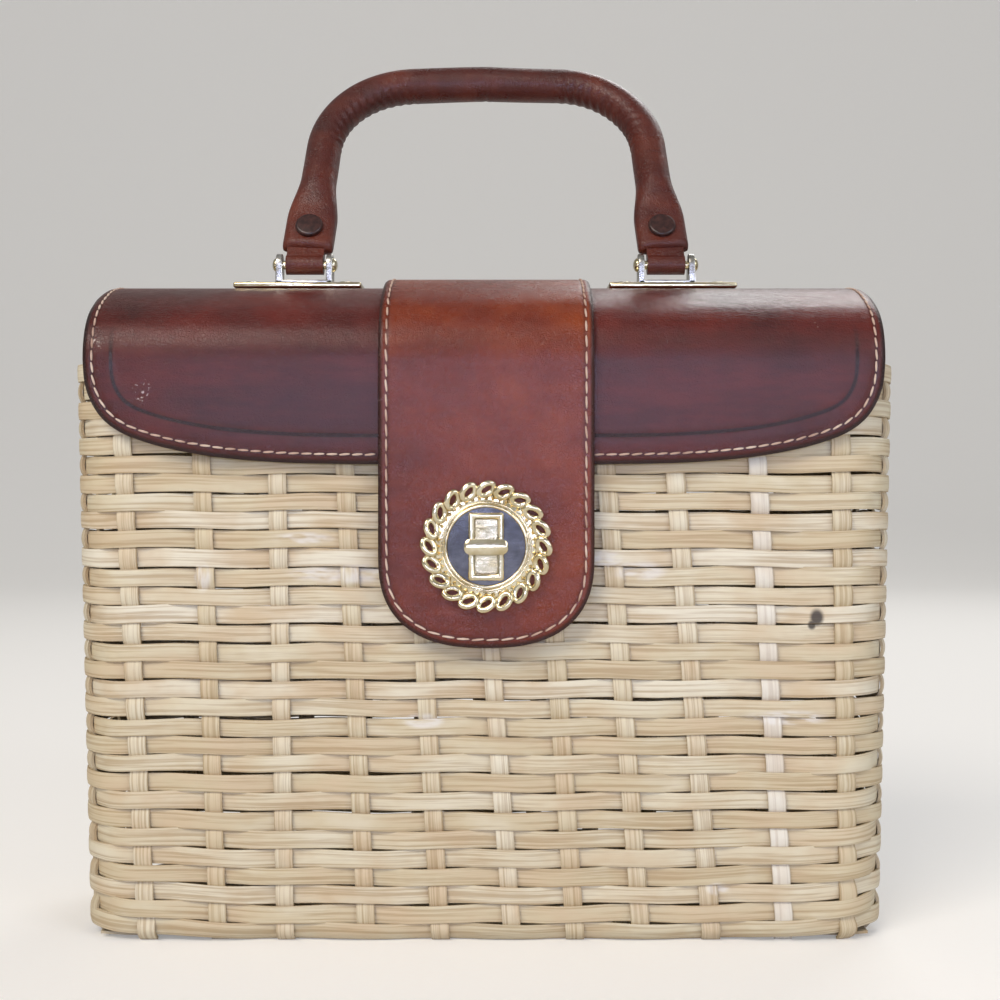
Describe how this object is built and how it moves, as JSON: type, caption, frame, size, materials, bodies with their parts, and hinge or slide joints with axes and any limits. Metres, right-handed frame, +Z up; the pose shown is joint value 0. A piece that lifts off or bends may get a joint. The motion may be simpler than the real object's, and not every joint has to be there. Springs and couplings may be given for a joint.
{
  "type": "basket box bag",
  "caption": "Woven flat reed box handbag with a domed leather lid, stitched front tab, turn lock and rolled arch handle.",
  "frame": {"origin": "middle of the underside of the woven base", "axes": "+Z up from the base to the handle, -Y towards the front with the lock, +X to the right seen from the front"},
  "size_m": [0.2826, 0.1147, 0.3177],
  "materials": {
    "reed": "matte",
    "wood": "matte",
    "lid_leather": "gloss",
    "tab_leather": "satin",
    "handle_leather": "satin",
    "board": "matte",
    "lining": "matte",
    "gilt": "polished",
    "steel": "satin",
    "dark_cap": "gloss"
  },
  "bodies": {
    "basket": {"basket_wall": "reed", "basket_base": "reed", "rim_hoop": "wood", "lock_base_plate": "steel", "lock_backing_plate": "steel", "lock_rivets": "steel", "hinge_rivets": "steel", "hinge_basket_leaf_left": "steel", "hinge_basket_leaf_right": "steel", "hinge_pin_left": "steel", "hinge_pin_right": "steel"},
    "lid": {"lid_shell": "board", "lid_leather": "lid_leather", "flap_stiffener": "board", "flap_backing": "lid_leather", "lid_frame": "wood", "lid_lining": "lining", "tab_leather": "tab_leather", "tab_backing": "tab_leather", "medallion": "gilt", "slot_collar": "gilt", "medallion_back_plate": "gilt", "plate_rivets": "gilt", "lid_hinge_rivets": "steel", "lid_end_leather_left": "lid_leather", "handle_plate_left": "gilt", "pin_bracket_left": "steel", "handle_pin_left": "steel", "reinforcement_plate_left": "steel", "hinge_lid_leaf_left": "steel", "lid_end_leather_right": "lid_leather", "handle_plate_right": "gilt", "pin_bracket_right": "steel", "handle_pin_right": "steel", "reinforcement_plate_right": "steel", "hinge_lid_leaf_right": "steel"},
    "handle": {"handle_grip": "handle_leather", "handle_core": "board", "handle_loop_left": "handle_leather", "handle_rivet_left": "dark_cap", "handle_loop_right": "handle_leather", "handle_rivet_right": "dark_cap"},
    "turn_knob": {"turn_knob": "gilt", "knob_washer": "steel"}
  },
  "joints": [
    {"name": "lid_hinge", "type": "hinge", "parent": "basket", "child": "lid", "pos_m": [0, 0.0522, 0.1943], "axis": [-1, 0, 0], "range_deg": [0, 105]},
    {"name": "handle_swing", "type": "hinge", "parent": "lid", "child": "handle", "pos_m": [0, 0, 0.233], "axis": [-1, 0, 0], "range_deg": [-132, 72]},
    {"name": "knob_turn", "type": "hinge", "parent": "basket", "child": "turn_knob", "pos_m": [0.0008, 0, 0.1325], "axis": [0, 1, 0], "range_deg": [0, 90]}
  ]
}
